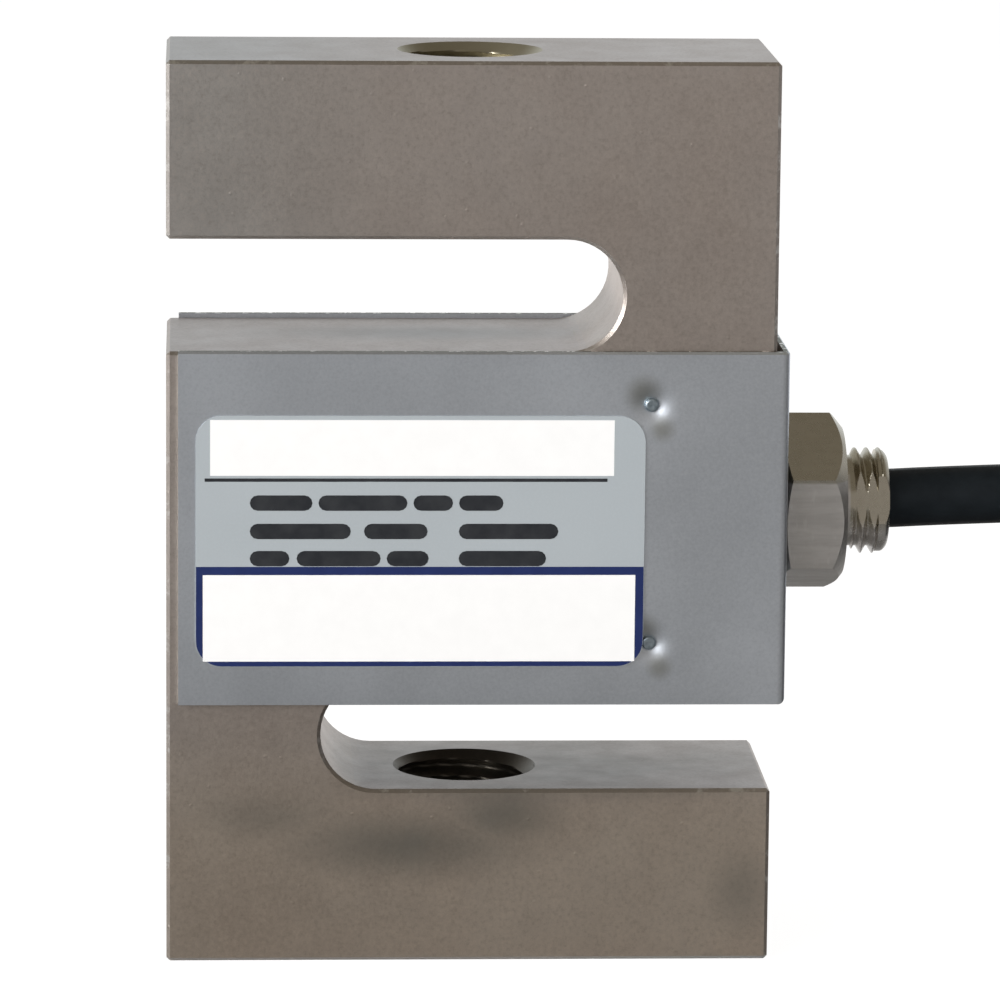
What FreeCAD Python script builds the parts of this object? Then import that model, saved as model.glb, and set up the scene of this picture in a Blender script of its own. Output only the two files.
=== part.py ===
# S type load cell: an S shaped steel spring body with a threaded hole in each arm,
# strain gauges in a sealed cavity of its middle block, a wrap-round sheet cover,
# a screwed cable gland, and the signal cable with its shipping coil.
# Millimetres. +Z runs along the load axis, +X points the way the cable leaves,
# and the rated face looks along -Y. The origin is the centre of the lower
# threaded hole in the bottom face.
import FreeCAD, Part
import math
import os

Vector = FreeCAD.Vector
X_DIR = Vector(1, 0, 0)
Y_DIR = Vector(0, 1, 0)
Z_DIR = Vector(0, 0, 1)

# ---------------------------------------------------------------- sizes: body
BODY_WIDTH = 50.8
BODY_THICKNESS = 19.05
ARM_DEPTH = 14.8
SLOT_HEIGHT = 9.4
MIDDLE_HEIGHT = 27.8
SLOT_REACH = 12.5            # load axis to the closed end of each slot
BODY_CHAMFER = 0.3
THREAD_MINOR_RADIUS = 5.053  # M12 x 1.75, plain core hole
THREAD_MOUTH_RADIUS = 6.1
CAVITY_RADIUS = 9.0
CAVITY_OFFSET = 7.0          # load axis to each round of the cavity

# --------------------------------------------------------------- sizes: cover
SHEET = 0.55
COVER_SIDE_GAP = 0.52        # folded side to the body's side
COVER_SETBACK = 1.0          # free edges behind the body's open side
COVER_SKIRT = 2.0            # overhang below the middle block
COVER_LIP = 0.1              # rise above the middle block
REAR_RISE = 0.25             # the rear flange is cut this much taller
COVER_BEND = 0.15            # inner radius of both folds
COVER_EDGE_BREAK = 0.2
PIN_X = 14.95
PIN_PITCH = 20.2             # upper pin to lower pin
PIN_DROP = 0.57              # pin pair below the body's centre
PIN_HEAD_RADIUS = 0.58
PIN_CROWN_RADIUS = 0.42
PIN_HEAD_HEIGHT = 0.3
PIN_SHANK_RADIUS = 0.4
PIN_LENGTH = 3.0
DISH_RADIUS = 1.9
DISH_FLOOR_RADIUS = 0.75
DISH_DEPTH = 0.35

# --------------------------------------------------------------- sizes: label
LABEL_WIDTH = 37.4
LABEL_HEIGHT = 21.25
LABEL_RIGHT = 14.45
LABEL_RISE = 3.3             # above the cover's lower edge
LABEL_CORNER = 2.2
LABEL_THICKNESS = 0.12

# --------------------------------------------------------------- sizes: gland
SEAL_THICKNESS = 0.25
SEAL_RADIUS = 6.2
HEX_FLATS = 13.5
HEX_LENGTH = 5.2
HEX_TURN = 7.5               # degrees a corner lies forward of straight up
HEX_OUTER_FACE_RADIUS = 6.3  # end face, where the corner chamfer starts
HEX_OUTER_CHAMFER = 1.2      # along the axis
HEX_INNER_FACE_RADIUS = 6.6
HEX_INNER_CHAMFER = 0.45
STUB_RADIUS = 4.5
STUB_LENGTH = 3.8
STUB_CHAMFER = 0.6
STUB_FLAT_DEPTH = 0.63       # milled down to the thread's root
STUB_FLAT_TILT = 10.0        # degrees the flat looks up from the front
GLAND_DROP = 0.3             # gland axis below the body's centre
SPIGOT_RADIUS = 4.0
SPIGOT_LENGTH = 6.5          # engaged in the body
SPIGOT_CLEARANCE = 0.15      # in the cover's hole
GLAND_LIP = 0.8
GLAND_LIP_CLEARANCE = 0.1
GROMMET_WALL = 0.8
GROMMET_LENGTH = 7.0

# --------------------------------------------------------------- sizes: cable
CABLE_RADIUS = 2.5
PASSAGE_CLEARANCE = 0.3
JACKET_END = 13.5            # inner end of the jacket, from the load axis
CORE_RADIUS = 0.5
CORE_RISE = 0.9              # cores above and below the cable's axis

# ------------------------------------------------------ sizes: bridge circuit
GAUGE_THICKNESS = 0.25
GAUGE_WIDTH = 6.0
GAUGE_HALF_ANGLE = 17.0
BOARD_WIDTH = 14.0
BOARD_HEIGHT = 8.0
BOARD_THICKNESS = 1.0
RESISTOR_WIDTH = 3.2
RESISTOR_DEPTH = 0.6
RESISTOR_HEIGHT = 1.6
RESISTOR_SPACING = 4.0
RESISTOR_OFFSET = 2.5        # left of the load axis
LEAD_WIDTH = 1.0
LEAD_THICKNESS = 0.3
LEAD_LAP = 1.0
CORE_LAP = 3.0
SEALANT_SHORT = 1.0          # sealant stops short of each cover sheet

# ------------------------------------------------------ sizes: coil, far end
COIL_MEAN_RADIUS = 26.0
COIL_COLUMNS = 3
COIL_LAYERS = 6
COIL_SLACK = 0.1
COIL_LEAD_IN = 18.0          # straight stretch that runs into the outer turn
COIL_TAIL = 25.0             # straight stretch that leaves it
TIE_WIDTH = 4.0
TIE_THICKNESS = 0.8
TWIST_RADIUS = 0.9
TWIST_LENGTH = 10.0
SLEEVE_LENGTH = 9.0
SLEEVE_LAP = 5.0
SLEEVE_WALL = 0.4
WIRE_RADIUS = 0.55
WIRE_SPREAD = 0.8
WIRE_LENGTH = 22.0
DRAIN_RADIUS = 0.3
DRAIN_LENGTH = 17.0
DRAIN_SIDEWAYS = 0.3

# ------------------------------------------------------------- derived places
HALF_WIDTH = BODY_WIDTH / 2
HALF_THICKNESS = BODY_THICKNESS / 2
MIDDLE_BOTTOM = ARM_DEPTH + SLOT_HEIGHT
MIDDLE_TOP = MIDDLE_BOTTOM + MIDDLE_HEIGHT
UPPER_ARM_BOTTOM = MIDDLE_TOP + SLOT_HEIGHT
BODY_HEIGHT = UPPER_ARM_BOTTOM + ARM_DEPTH
CENTRE_Z = BODY_HEIGHT / 2
GLAND_Z = CENTRE_Z - GLAND_DROP

COVER_FREE_EDGE = -HALF_WIDTH + COVER_SETBACK
COVER_INNER_SIDE = HALF_WIDTH + COVER_SIDE_GAP
COVER_OUTER_SIDE = COVER_INNER_SIDE + SHEET
COVER_FACE = HALF_THICKNESS + SHEET
COVER_BOTTOM = MIDDLE_BOTTOM - COVER_SKIRT
COVER_TOP = MIDDLE_TOP + COVER_LIP
PIN_CENTRE_Z = CENTRE_Z - PIN_DROP
PIN_HEIGHTS = {"upper": PIN_CENTRE_Z + PIN_PITCH / 2, "lower": PIN_CENTRE_Z - PIN_PITCH / 2}
FACES = {"front": -1, "rear": 1}

HEX_START = COVER_OUTER_SIDE + SEAL_THICKNESS
HEX_END = HEX_START + HEX_LENGTH
HEX_CORNER_RADIUS = HEX_FLATS / math.sqrt(3)
STUB_END = HEX_END + STUB_LENGTH
SPIGOT_END = HALF_WIDTH - SPIGOT_LENGTH
GROMMET_RADIUS = CABLE_RADIUS + GROMMET_WALL
GROMMET_END = STUB_END - GLAND_LIP

CABLE_DIAMETER = 2 * CABLE_RADIUS
COIL_WRAP = COIL_COLUMNS * CABLE_RADIUS + COIL_SLACK
COIL_OUTER_RADIUS = COIL_MEAN_RADIUS + COIL_WRAP
COIL_INNER_RADIUS = COIL_MEAN_RADIUS - COIL_WRAP
COIL_OUTER_TURN = COIL_OUTER_RADIUS - COIL_SLACK - CABLE_RADIUS
COIL_BOTTOM = TIE_THICKNESS
COIL_HEIGHT = COIL_LAYERS * CABLE_DIAMETER + 2 * COIL_SLACK
COIL_TOP = COIL_BOTTOM + COIL_HEIGHT
COIL_FIRST_TURN_Z = COIL_TOP - COIL_SLACK - CABLE_RADIUS
COIL_LAST_TURN_Z = COIL_BOTTOM + COIL_SLACK + CABLE_RADIUS

# The lead's route: straight out of the gland, then down and a little forward
# to the top outer turn of the coil, which stands to the side of the body.
CABLE_ROUTE = [
    Vector(JACKET_END, 0, GLAND_Z),
    Vector(56.0, 0, GLAND_Z),
    Vector(76.0, -8.0, COIL_FIRST_TURN_Z),
    Vector(94.0, -8.0, COIL_FIRST_TURN_Z),
]
COIL_CENTRE = CABLE_ROUTE[-1] + Vector(COIL_LEAD_IN, COIL_OUTER_TURN, -COIL_FIRST_TURN_Z)
JACKET_CUT = COIL_CENTRE + Vector(-COIL_TAIL, COIL_OUTER_TURN, COIL_LAST_TURN_Z)


# ------------------------------------------------------------ small shape aids
def block(low, high):
    """A box between two opposite corners."""
    size = high - low
    return Part.makeBox(size.x, size.y, size.z, low)


def rod(radius, start, direction, length):
    return Part.makeCylinder(radius, length, start, direction)


def pipe_ring(outer, inner, start, direction, length):
    return rod(outer, start, direction, length).cut(rod(inner, start, direction, length))


def prism(corners, travel):
    """A polygon's points, closed and pushed along one vector."""
    return Part.Face(Part.makePolygon(corners + corners[:1])).extrude(travel)


def rounded_run(points):
    """Straight runs joined by tangent arcs, each as large as its runs allow."""
    edges = []
    radii = []
    cursor = points[0]
    for before, corner, after in zip(points, points[1:], points[2:]):
        arriving = corner - before
        leaving = after - corner
        reach = 0.45 * min(arriving.Length, leaving.Length)
        turn = arriving.getAngle(leaving)
        radius = reach / math.tan(turn / 2)
        arriving.normalize()
        leaving.normalize()
        inward = (leaving - arriving).normalize()
        start = corner - arriving * reach
        end = corner + leaving * reach
        middle = corner + inward * (radius / math.cos(turn / 2) - radius)
        edges.append(Part.LineSegment(cursor, start).toShape())
        edges.append(Part.Arc(start, middle, end).toShape())
        radii.append(radius)
        cursor = end
    edges.append(Part.LineSegment(cursor, points[-1]).toShape())
    return Part.Wire(edges), radii


def tube(points, radius, name):
    """A round cord along a rounded run, with its volume held to section times length."""
    path, radii = rounded_run(points)
    section = Part.Wire(Part.makeCircle(radius, points[0], points[1] - points[0]))
    solid = path.makePipeShell([section], True, True)
    expected = math.pi * radius ** 2 * path.Length
    print(name, "length", round(path.Length, 2), "arc radii", [round(r, 1) for r in radii],
          "volume ratio", round(solid.Volume / expected, 5))
    return solid


# ------------------------------------------------------------------- the body
def slot(closed_x, open_x, bottom):
    """A slot through the thickness with a full round end."""
    radius = SLOT_HEIGHT / 2
    toward = math.copysign(1, closed_x - open_x)
    centre_x = closed_x - toward * radius
    low_x = min(centre_x, open_x)
    high_x = max(centre_x, open_x)
    channel = block(Vector(low_x, -BODY_THICKNESS, bottom),
                    Vector(high_x, BODY_THICKNESS, bottom + SLOT_HEIGHT))
    end = rod(radius, Vector(centre_x, -BODY_THICKNESS, bottom + radius), Y_DIR, 2 * BODY_THICKNESS)
    return channel.fuse(end)


def threaded_hole(bottom, top):
    """The core hole of one arm, chamfered to the thread's outside at both mouths."""
    depth = THREAD_MOUTH_RADIUS - THREAD_MINOR_RADIUS
    hole = rod(THREAD_MINOR_RADIUS, Vector(0, 0, bottom), Z_DIR, top - bottom)
    lower_mouth = Part.makeCone(THREAD_MOUTH_RADIUS, THREAD_MINOR_RADIUS, depth,
                                Vector(0, 0, bottom), Z_DIR)
    upper_mouth = Part.makeCone(THREAD_MOUTH_RADIUS, THREAD_MINOR_RADIUS, depth,
                                Vector(0, 0, top), -Z_DIR)
    return hole.fuse([lower_mouth, upper_mouth])


def cavity(low_y, high_y):
    """Two overlapping rounds through the middle block, where the gauges sit."""
    rounds = [rod(CAVITY_RADIUS, Vector(x, low_y, CENTRE_Z), Y_DIR, high_y - low_y)
              for x in (-CAVITY_OFFSET, CAVITY_OFFSET)]
    return rounds[0].fuse(rounds[1]).removeSplitter()


def s_outline():
    """The S block with its outer edges broken, before any hole."""
    shape = block(Vector(-HALF_WIDTH, -HALF_THICKNESS, 0),
                  Vector(HALF_WIDTH, HALF_THICKNESS, BODY_HEIGHT))
    past = HALF_WIDTH + SLOT_HEIGHT
    shape = shape.cut(slot(SLOT_REACH, -past, MIDDLE_TOP))
    shape = shape.cut(slot(-SLOT_REACH, past, ARM_DEPTH))
    outline = [edge for edge in shape.Edges
               if abs(abs(edge.CenterOfMass.y) - HALF_THICKNESS) < 1e-6]
    corners = [edge for edge in shape.Edges
               if abs(edge.CenterOfMass.y) < 1e-6
               and abs(abs(edge.CenterOfMass.x) - HALF_WIDTH) < 1e-6]
    return shape.makeChamfer(BODY_CHAMFER, outline + corners)


def s_body():
    shape = s_outline()
    tools = [
        threaded_hole(0, ARM_DEPTH),
        threaded_hole(UPPER_ARM_BOTTOM, BODY_HEIGHT),
        cavity(-BODY_THICKNESS, BODY_THICKNESS),
        rod(SPIGOT_RADIUS, Vector(SPIGOT_END, 0, GLAND_Z), X_DIR, SPIGOT_LENGTH),
        rod(CABLE_RADIUS + PASSAGE_CLEARANCE, Vector(CAVITY_OFFSET, 0, GLAND_Z), X_DIR,
            HALF_WIDTH - CAVITY_OFFSET),
    ]
    for side in FACES.values():
        for z in PIN_HEIGHTS.values():
            tools.append(rod(PIN_SHANK_RADIUS, Vector(PIN_X, side * HALF_THICKNESS, z),
                             Y_DIR * -side, PIN_LENGTH))
    return shape.cut(tools)


# ------------------------------------------------------------------ the cover
def folded_sheet(top):
    """The U section: two flanges and the folded side, pushed up to one height."""
    outer_bend = COVER_BEND + SHEET
    outer = block(Vector(COVER_FREE_EDGE, -COVER_FACE, COVER_BOTTOM),
                  Vector(COVER_OUTER_SIDE, COVER_FACE, top))
    folds = [edge for edge in outer.Edges
             if abs(edge.CenterOfMass.x - COVER_OUTER_SIDE) < 1e-6
             and abs(abs(edge.CenterOfMass.y) - COVER_FACE) < 1e-6]
    outer = outer.makeFillet(outer_bend, folds)
    inner = block(Vector(COVER_FREE_EDGE - SHEET, -HALF_THICKNESS, COVER_BOTTOM - SHEET),
                  Vector(COVER_INNER_SIDE, HALF_THICKNESS, top + SHEET))
    folds = [edge for edge in inner.Edges
             if abs(edge.CenterOfMass.x - COVER_INNER_SIDE) < 1e-6
             and abs(abs(edge.CenterOfMass.y) - HALF_THICKNESS) < 1e-6]
    inner = inner.makeFillet(COVER_BEND, folds)
    return outer.cut(inner)


def dish(z, side):
    """The shallow cone sunk into the sheet round one pin."""
    return Part.makeCone(DISH_RADIUS, DISH_FLOOR_RADIUS, DISH_DEPTH,
                         Vector(PIN_X, side * COVER_FACE, z), Y_DIR * -side)


def wrap_cover():
    shape = folded_sheet(COVER_TOP + REAR_RISE)
    shape = shape.cut(block(Vector(-BODY_WIDTH, -2 * COVER_FACE, COVER_TOP),
                            Vector(BODY_WIDTH, HALF_THICKNESS, COVER_TOP + 2 * REAR_RISE)))
    rim = [edge for edge in shape.Edges
           if abs(edge.CenterOfMass.y + COVER_FACE) < 1e-6
           and abs(edge.CenterOfMass.z - COVER_TOP) < 1e-6]
    shape = shape.makeChamfer(COVER_EDGE_BREAK, rim)
    for side in FACES.values():
        for z in PIN_HEIGHTS.values():
            shape = shape.cut(dish(z, side))
            shape = shape.cut(rod(PIN_SHANK_RADIUS, Vector(PIN_X, side * COVER_FACE, z),
                                  Y_DIR * -side, PIN_LENGTH))
    return shape.cut(rod(SPIGOT_RADIUS + SPIGOT_CLEARANCE, Vector(HALF_WIDTH, 0, GLAND_Z),
                         X_DIR, 2 * (COVER_OUTER_SIDE - HALF_WIDTH)))


def cover_pin(side, z):
    """A drive pin: tapered head on the dish's floor, plain shank in the body."""
    seat = side * (COVER_FACE - DISH_DEPTH)
    shank = rod(PIN_SHANK_RADIUS, Vector(PIN_X, seat, z), Y_DIR * -side,
                PIN_LENGTH - SHEET + DISH_DEPTH)
    head = Part.makeCone(PIN_HEAD_RADIUS, PIN_CROWN_RADIUS, PIN_HEAD_HEIGHT,
                         Vector(PIN_X, seat, z), Y_DIR * side)
    return head.fuse(shank)


def rating_label():
    """The printed foil plate: a flat blank with rounded corners."""
    bottom = COVER_BOTTOM + LABEL_RISE
    plate = block(Vector(LABEL_RIGHT - LABEL_WIDTH, -COVER_FACE - LABEL_THICKNESS, bottom),
                  Vector(LABEL_RIGHT, -COVER_FACE, bottom + LABEL_HEIGHT))
    corners = [edge for edge in plate.Edges if abs(edge.tangentAt(edge.FirstParameter).y) > 0.9]
    return plate.makeFillet(LABEL_CORNER, corners)


# ------------------------------------------------------------------ the gland
def hex_corner(number):
    angle = math.radians(HEX_TURN + 60 * number)
    return Vector(HEX_START, -HEX_CORNER_RADIUS * math.sin(angle),
                  GLAND_Z + HEX_CORNER_RADIUS * math.cos(angle))


def hex_head():
    """The spanner hexagon, its corners turned off at both ends."""
    hexagon = prism([hex_corner(number) for number in range(6)], X_DIR * HEX_LENGTH)
    profile = [
        Vector(HEX_START, 0, GLAND_Z),
        Vector(HEX_START, 0, GLAND_Z + HEX_INNER_FACE_RADIUS),
        Vector(HEX_START + HEX_INNER_CHAMFER, 0, GLAND_Z + HEX_CORNER_RADIUS),
        Vector(HEX_END - HEX_OUTER_CHAMFER, 0, GLAND_Z + HEX_CORNER_RADIUS),
        Vector(HEX_END, 0, GLAND_Z + HEX_OUTER_FACE_RADIUS),
        Vector(HEX_END, 0, GLAND_Z),
    ]
    turned = Part.Face(Part.makePolygon(profile + profile[:1]))
    turned = turned.revolve(Vector(0, 0, GLAND_Z), X_DIR, 360)
    return hexagon.common(turned)


def screwed_stub():
    """The outer screwed end, chamfered, with its one milled flat."""
    stub = rod(STUB_RADIUS, Vector(HEX_END, 0, GLAND_Z), X_DIR, STUB_LENGTH)
    outer_rim = [edge for edge in stub.Edges
                 if edge.Curve.TypeId == "Part::GeomCircle"
                 and abs(edge.CenterOfMass.x - STUB_END) < 1e-6]
    stub = stub.makeChamfer(STUB_CHAMFER, outer_rim)
    waste = block(Vector(HEX_END, -2 * STUB_RADIUS, -STUB_RADIUS),
                  Vector(STUB_END, STUB_FLAT_DEPTH - STUB_RADIUS, STUB_RADIUS))
    waste.rotate(Vector(0, 0, 0), X_DIR, -STUB_FLAT_TILT)
    waste.translate(Z_DIR * GLAND_Z)
    return stub.cut(waste)


def gland_body():
    """Hexagon, outer screwed stub and the spigot screwed into the body."""
    spigot = rod(SPIGOT_RADIUS, Vector(SPIGOT_END, 0, GLAND_Z), X_DIR, HEX_START - SPIGOT_END)
    shape = hex_head().fuse([screwed_stub(), spigot])
    bore = rod(GROMMET_RADIUS, Vector(SPIGOT_END, 0, GLAND_Z), X_DIR, GROMMET_END - SPIGOT_END)
    lip = rod(CABLE_RADIUS + GLAND_LIP_CLEARANCE, Vector(SPIGOT_END, 0, GLAND_Z), X_DIR,
              STUB_END - SPIGOT_END)
    return shape.cut([bore, lip])


def gland_seal():
    return pipe_ring(SEAL_RADIUS, SPIGOT_RADIUS, Vector(COVER_OUTER_SIDE, 0, GLAND_Z), X_DIR,
                     SEAL_THICKNESS)


def cable_grommet():
    return pipe_ring(GROMMET_RADIUS, CABLE_RADIUS,
                     Vector(GROMMET_END - GROMMET_LENGTH, 0, GLAND_Z), X_DIR, GROMMET_LENGTH)


# --------------------------------------------------------- the bridge circuit
def strain_gauge(side, up):
    """A foil gauge bonded in the crown of one round of the cavity."""
    centre = Vector(side * CAVITY_OFFSET, -GAUGE_WIDTH / 2, CENTRE_Z)
    band = pipe_ring(CAVITY_RADIUS, CAVITY_RADIUS - GAUGE_THICKNESS, centre, Y_DIR, GAUGE_WIDTH)
    half_width = CAVITY_RADIUS * math.sin(math.radians(GAUGE_HALF_ANGLE))
    low_z = min(0, up * CAVITY_RADIUS)
    window = block(centre + Vector(-half_width, 0, low_z),
                   centre + Vector(half_width, GAUGE_WIDTH, low_z + CAVITY_RADIUS))
    return band.common(window)


def gauge_lead(side, up):
    """A flat twin lead from the gauge's face down to the back of the board."""
    centre_x = side * (BOARD_WIDTH - LEAD_WIDTH) / 2
    corner = abs(CAVITY_OFFSET - abs(centre_x)) + LEAD_WIDTH / 2
    gauge_face = math.sqrt((CAVITY_RADIUS - GAUGE_THICKNESS) ** 2 - corner ** 2)
    ends = sorted((CENTRE_Z + up * gauge_face, CENTRE_Z + up * (BOARD_HEIGHT / 2 - LEAD_LAP)))
    return block(Vector(centre_x - LEAD_WIDTH / 2, BOARD_THICKNESS / 2, ends[0]),
                 Vector(centre_x + LEAD_WIDTH / 2, BOARD_THICKNESS / 2 + LEAD_THICKNESS, ends[1]))


def bridge_board():
    return block(Vector(-BOARD_WIDTH / 2, -BOARD_THICKNESS / 2, CENTRE_Z - BOARD_HEIGHT / 2),
                 Vector(BOARD_WIDTH / 2, BOARD_THICKNESS / 2, CENTRE_Z + BOARD_HEIGHT / 2))


def resistor(up):
    """A chip on the board's face, one above the other."""
    z = CENTRE_Z + up * RESISTOR_SPACING / 2
    face_y = -BOARD_THICKNESS / 2
    return block(Vector(-RESISTOR_OFFSET - RESISTOR_WIDTH / 2, face_y - RESISTOR_DEPTH,
                        z - RESISTOR_HEIGHT / 2),
                 Vector(-RESISTOR_OFFSET + RESISTOR_WIDTH / 2, face_y, z + RESISTOR_HEIGHT / 2))


CORES = {"red": (1, 1), "green": (-1, 1), "white": (1, -1), "black": (-1, -1)}


def inner_core(name):
    """One insulated core, straight from the jacket's end onto a face of the board."""
    back, up = CORES[name]
    start = Vector(JACKET_END, back * (BOARD_THICKNESS / 2 + CORE_RADIUS),
                   CENTRE_Z + up * CORE_RISE)
    return rod(CORE_RADIUS, start, -X_DIR, JACKET_END - BOARD_WIDTH / 2 + CORE_LAP)


def sealant(face):
    """One plug of sealant in a mouth of the cavity, up to the gauges' edge."""
    mouth = HALF_THICKNESS - SEALANT_SHORT
    if face == "front":
        return cavity(-mouth, -GAUGE_WIDTH / 2)
    return cavity(GAUGE_WIDTH / 2, mouth)


# --------------------------------------------------- the coil and the far end
def cable_coil():
    """The wound part of the cable as one ring, with its lead-in and its tail."""
    bottom = COIL_CENTRE + Z_DIR * COIL_BOTTOM
    shape = pipe_ring(COIL_OUTER_RADIUS, COIL_INNER_RADIUS, bottom, Z_DIR, COIL_HEIGHT)
    lead_in = rod(CABLE_RADIUS, CABLE_ROUTE[-1], X_DIR, COIL_LEAD_IN)
    tail = rod(CABLE_RADIUS, JACKET_CUT, X_DIR, COIL_TAIL)
    return shape.fuse([lead_in, tail])


def coil_tie(side):
    """A flat tie round the bundle's section, with its twisted ends on top."""
    inner_r = COIL_INNER_RADIUS
    outer_r = COIL_OUTER_RADIUS
    wall = TIE_THICKNESS

    def frame(low_r, high_r, low_z, high_z):
        corners = [Vector(side * r, 0, z) for r, z in
                   ((low_r, low_z), (high_r, low_z), (high_r, high_z), (low_r, high_z))]
        return Part.Face(Part.makePolygon(corners + corners[:1]))

    section = frame(inner_r - wall, outer_r + wall, 0, COIL_TOP + wall)
    section = section.cut(frame(inner_r, outer_r, COIL_BOTTOM, COIL_TOP))
    sweep = math.degrees(TIE_WIDTH / COIL_MEAN_RADIUS)
    section.rotate(Vector(0, 0, 0), Z_DIR, -sweep / 2)
    band = section.revolve(Vector(0, 0, 0), Z_DIR, sweep)
    twist = rod(TWIST_RADIUS, Vector(side * COIL_MEAN_RADIUS, 0, COIL_TOP + wall / 2), Z_DIR,
                TWIST_LENGTH)
    shape = Part.Solid(band.Solids[0]).fuse(twist)
    shape.translate(COIL_CENTRE)
    return shape


def end_sleeve():
    """Heat-shrink over the jacket's cut end and the start of the cores."""
    start = JACKET_CUT + X_DIR * SLEEVE_LAP
    return pipe_ring(CABLE_RADIUS + SLEEVE_WALL, CABLE_RADIUS, start, -X_DIR, SLEEVE_LENGTH)


# Each wire's place in the jacket's end and how far it is fanned out sideways.
FAR_WIRES = {
    "red": (1, 1, 2.6),
    "green": (-1, 1, -1.2),
    "white": (1, -1, 1.0),
    "black": (-1, -1, -3.2),
}


def laid_rod(radius, start, sideways, length):
    """A straight wire from the jacket's end that comes down to lie by its tip."""
    drop = start.z - 1.1 * radius
    along = Vector(-length, sideways, -drop)
    wire = rod(radius, start - along * (radius / length), along, along.Length)
    jacket = block(start - Vector(0, CABLE_RADIUS, CABLE_RADIUS),
                   start + Vector(CABLE_RADIUS, CABLE_RADIUS, CABLE_RADIUS))
    return wire.cut(jacket)


def far_wire(name):
    back, up, sideways = FAR_WIRES[name]
    start = JACKET_CUT + Vector(0, back * WIRE_SPREAD, up * WIRE_SPREAD)
    return laid_rod(WIRE_RADIUS, start, sideways, WIRE_LENGTH)


def drain_wire():
    return laid_rod(DRAIN_RADIUS, JACKET_CUT, DRAIN_SIDEWAYS, DRAIN_LENGTH)


# -------------------------------------------------------------- the assembly
def circuit_parts():
    """Everything between the two plugs of sealant."""
    parts = {"bridge_board": bridge_board()}
    for side_name, side in (("left", -1), ("right", 1)):
        for level, up in (("upper", 1), ("lower", -1)):
            parts["strain_gauge_" + side_name + "_" + level] = strain_gauge(side, up)
            parts["gauge_lead_" + side_name + "_" + level] = gauge_lead(side, up)
    parts["span_resistor"] = resistor(1)
    parts["zero_resistor"] = resistor(-1)
    for name in CORES:
        parts["inner_core_" + name] = inner_core(name)
    return parts


def all_parts():
    parts = {
        "s_body": s_body(),
        "wrap_cover": wrap_cover(),
        "rating_label": rating_label(),
        "gland_body": gland_body(),
        "gland_seal": gland_seal(),
        "cable_grommet": cable_grommet(),
        "cable_lead": tube(CABLE_ROUTE, CABLE_RADIUS, "cable_lead"),
        "cable_coil": cable_coil(),
        "coil_tie_left": coil_tie(-1),
        "coil_tie_right": coil_tie(1),
        "end_sleeve": end_sleeve(),
        "shield_drain_wire": drain_wire(),
    }
    for face, side in FACES.items():
        for level, z in PIN_HEIGHTS.items():
            parts["cover_pin_" + face + "_" + level] = cover_pin(side, z)
    for name in FAR_WIRES:
        parts["end_wire_" + name] = far_wire(name)
    for face in FACES:
        parts["sealant_" + face] = sealant(face)
    parts.update(circuit_parts())
    return parts


os.makedirs("parts", exist_ok=True)
for node, shape in all_parts().items():
    shape.exportStep("parts/" + node + ".step")
    print(node, shape.ShapeType, len(shape.Solids), shape.isValid(), round(shape.Volume, 2))
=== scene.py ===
import math

import bmesh
import bpy
from mathutils import Matrix, Vector

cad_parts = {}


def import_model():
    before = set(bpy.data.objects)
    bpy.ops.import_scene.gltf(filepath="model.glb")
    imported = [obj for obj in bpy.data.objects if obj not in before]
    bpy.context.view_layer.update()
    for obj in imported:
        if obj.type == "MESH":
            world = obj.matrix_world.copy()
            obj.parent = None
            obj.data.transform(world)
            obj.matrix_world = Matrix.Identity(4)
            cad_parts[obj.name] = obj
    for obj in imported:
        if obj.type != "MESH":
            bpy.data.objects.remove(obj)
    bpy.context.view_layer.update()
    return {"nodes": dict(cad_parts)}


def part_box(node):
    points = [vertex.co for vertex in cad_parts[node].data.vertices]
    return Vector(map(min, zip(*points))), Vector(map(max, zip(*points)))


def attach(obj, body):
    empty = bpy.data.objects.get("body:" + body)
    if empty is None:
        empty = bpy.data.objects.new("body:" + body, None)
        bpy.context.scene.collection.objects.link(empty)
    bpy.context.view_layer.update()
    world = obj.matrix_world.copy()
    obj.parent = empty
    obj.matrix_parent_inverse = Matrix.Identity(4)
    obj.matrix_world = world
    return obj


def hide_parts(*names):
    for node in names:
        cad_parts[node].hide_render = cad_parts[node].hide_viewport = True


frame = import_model()

MM = 0.001


# ---- Places taken from the frame ----
BODY_LOW, BODY_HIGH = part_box("s_body")
COVER_LOW, COVER_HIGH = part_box("wrap_cover")
LABEL_LOW, LABEL_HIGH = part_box("rating_label")
SEAL_LOW, SEAL_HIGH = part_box("gland_seal")
SLEEVE_LOW, SLEEVE_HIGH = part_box("end_sleeve")

GLAND_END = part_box("gland_body")[1].x
GLAND_Z = (SEAL_LOW.z + SEAL_HIGH.z) / 2
ARM_DEPTH = 14.8 * MM
CABLE_RADIUS = 2.5 * MM


# ---- Small mesh aids ----
WELD_REACH = 0.002 * MM
FLAT_ANGLE = math.radians(0.5)
AXIS_RADIUS = 0.001 * MM


def new_object(name, mesh, smooth_angle=None):
    """Links a mesh as an object that rides on the part."""
    piece = bpy.data.objects.new(name, mesh)
    bpy.context.scene.collection.objects.link(piece)
    if smooth_angle is not None:
        shade_by_angle(piece, smooth_angle)
    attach(piece, "root")
    return piece


def shade_by_angle(piece, degrees):
    """Smooth shading that stays sharp across edges steeper than the angle."""
    limit = math.radians(degrees)
    mesh = piece.data
    grid = bmesh.new()
    grid.from_mesh(mesh)
    for face in grid.faces:
        face.smooth = True
    for edge in grid.edges:
        edge.smooth = len(edge.link_faces) == 2 and edge.calc_face_angle(0) < limit
    grid.to_mesh(mesh)
    grid.free()


def mesh_from(name, points, faces):
    mesh = bpy.data.meshes.new(name)
    mesh.from_pydata([tuple(point) for point in points], [], faces)
    mesh.validate()
    mesh.update()
    return mesh


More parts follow.
